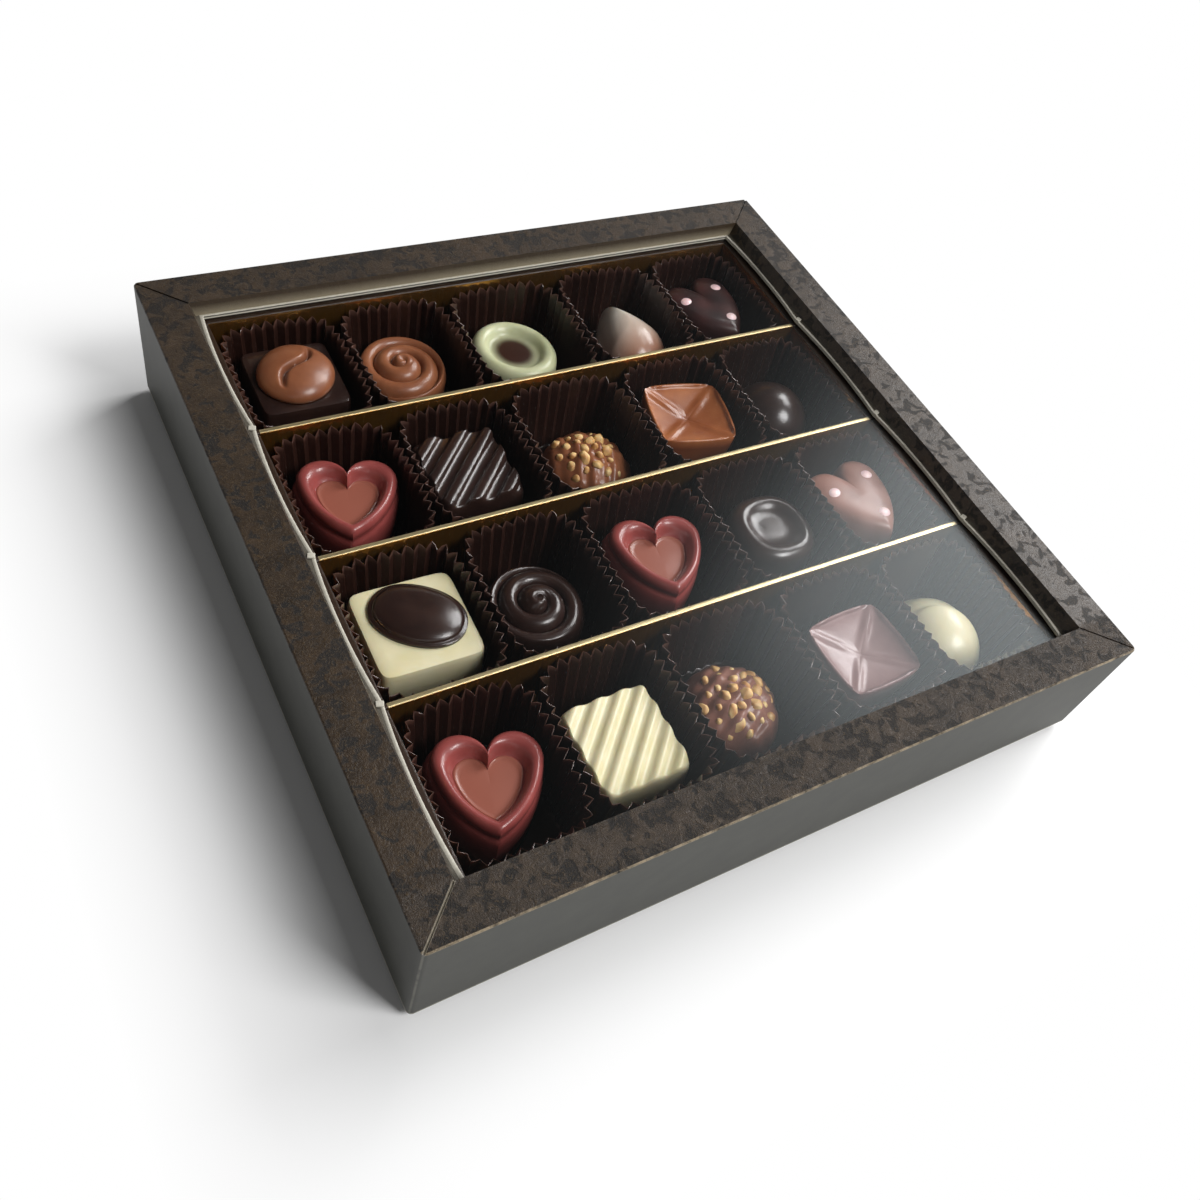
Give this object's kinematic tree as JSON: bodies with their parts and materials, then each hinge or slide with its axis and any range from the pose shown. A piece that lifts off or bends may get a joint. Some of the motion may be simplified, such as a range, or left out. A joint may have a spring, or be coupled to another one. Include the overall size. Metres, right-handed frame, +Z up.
{
  "type": "chocolate box",
  "caption": "Square gift box of filled chocolates: a card lid with a clear recessed window lifts off a card tray with a gold insert, dividers, paper cups and moulded sweets.",
  "frame": {"origin": "centre of the tray's underside, where the box rests", "axes": "+X to the right along the longer side and the dividers, +Y to the back, +Z up out of the lid"},
  "size_m": [0.2, 0.196, 0.038],
  "materials": {
    "lid_card": "dark brown printed card, satin, with a grained pattern",
    "clear_film": "clear glossy plastic film",
    "tray_card": "dark brown card, matt",
    "gold_card": "mirror gold laminated card",
    "cup_paper": "dark brown glassine paper, slightly glossy",
    "dark_chocolate": "dark chocolate, glossy",
    "milk_chocolate": "milk chocolate, satin",
    "white_chocolate": "white chocolate, satin",
    "ruby_chocolate": "red sprayed chocolate, glossy",
    "copper_chocolate": "copper dusted milk chocolate, satin",
    "mauve_chocolate": "mauve milk chocolate, satin",
    "pistachio_chocolate": "pale green white chocolate, satin",
    "marbled_chocolate": "white and copper marbled chocolate, glossy",
    "nut_chocolate": "milk chocolate with chopped nuts, rough"
  },
  "bodies": {
    "base": {"base_tray": "tray_card", "tray_insert": "gold_card", "divider_back": "gold_card", "divider_middle": "gold_card", "divider_front": "gold_card", "paper_cup_r1c1": "cup_paper", "paper_cup_r1c2": "cup_paper", "paper_cup_r1c3": "cup_paper", "paper_cup_r1c4": "cup_paper", "paper_cup_r1c5": "cup_paper", "paper_cup_r2c1": "cup_paper", "paper_cup_r2c2": "cup_paper", "paper_cup_r2c3": "cup_paper", "paper_cup_r2c4": "cup_paper", "paper_cup_r2c5": "cup_paper", "paper_cup_r3c1": "cup_paper", "paper_cup_r3c2": "cup_paper", "paper_cup_r3c3": "cup_paper", "paper_cup_r3c4": "cup_paper", "paper_cup_r3c5": "cup_paper", "paper_cup_r4c1": "cup_paper", "paper_cup_r4c2": "cup_paper", "paper_cup_r4c3": "cup_paper", "paper_cup_r4c4": "cup_paper", "paper_cup_r4c5": "cup_paper", "sweet_r1c1_bean_block": "dark_chocolate", "sweet_r1c2_milk_swirl": "milk_chocolate", "sweet_r1c3_pistachio_nest": "pistachio_chocolate", "sweet_r1c4_marbled_flame": "marbled_chocolate", "sweet_r1c5_dotted_dark_heart": "dark_chocolate", "sweet_r2c1_ruby_heart_back": "ruby_chocolate", "sweet_r2c2_ribbed_dark_block": "dark_chocolate", "sweet_r2c3_nut_cluster_back": "nut_chocolate", "sweet_r2c4_copper_cushion": "copper_chocolate", "sweet_r2c5_dark_dome": "dark_chocolate", "sweet_r3c1_white_block": "white_chocolate", "sweet_r3c2_dark_swirl": "dark_chocolate", "sweet_r3c3_ruby_heart_middle": "ruby_chocolate", "sweet_r3c4_dark_drum": "dark_chocolate", "sweet_r3c5_dotted_milk_heart": "milk_chocolate", "sweet_r4c1_ruby_heart_front": "ruby_chocolate", "sweet_r4c2_ribbed_white_block": "white_chocolate", "sweet_r4c3_nut_cluster_front": "nut_chocolate", "sweet_r4c4_mauve_cushion": "mauve_chocolate", "sweet_r4c5_folded_white_bean": "white_chocolate", "coffee_bean_topping": "milk_chocolate", "dark_oval_topping": "dark_chocolate"},
    "lid": {"lid_frame": "lid_card", "window_film": "clear_film"}
  },
  "joints": [
    {"name": "lid_lift", "type": "slide", "parent": "base", "child": "lid", "axis": [0, 0, 1], "range_m": [0, 0.06]}
  ]
}
